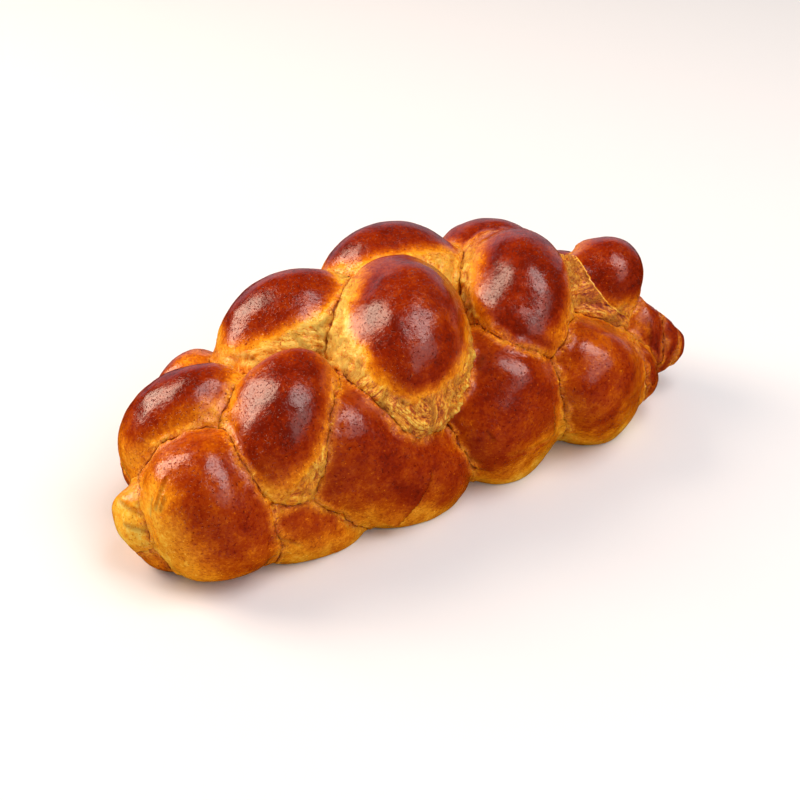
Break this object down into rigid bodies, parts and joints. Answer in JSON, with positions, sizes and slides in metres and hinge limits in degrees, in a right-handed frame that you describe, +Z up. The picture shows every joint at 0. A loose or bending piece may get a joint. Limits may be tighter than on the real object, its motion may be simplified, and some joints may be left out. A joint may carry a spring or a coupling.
{
  "type": "braided loaf",
  "caption": "Plaited egg loaf with plump overlapping strands, a glossy dark crust, pale stretch marks between the strands and a flat underside.",
  "frame": {"origin": "under the middle of the loaf's outline, on the flat underside that it rests on", "axes": "+X along the loaf from the joined end to the twisted end, +Y away from the side that shows, +Z up"},
  "size_m": [0.331, 0.1614, 0.1156],
  "materials": {
    "crust": "egg-washed and baked: glossy dark brown on the plump tops, golden at the sides, pale, matte and fibrous where the dough stretched between strands"
  },
  "bodies": {
    "root": {"loaf": "crust"}
  },
  "joints": []
}
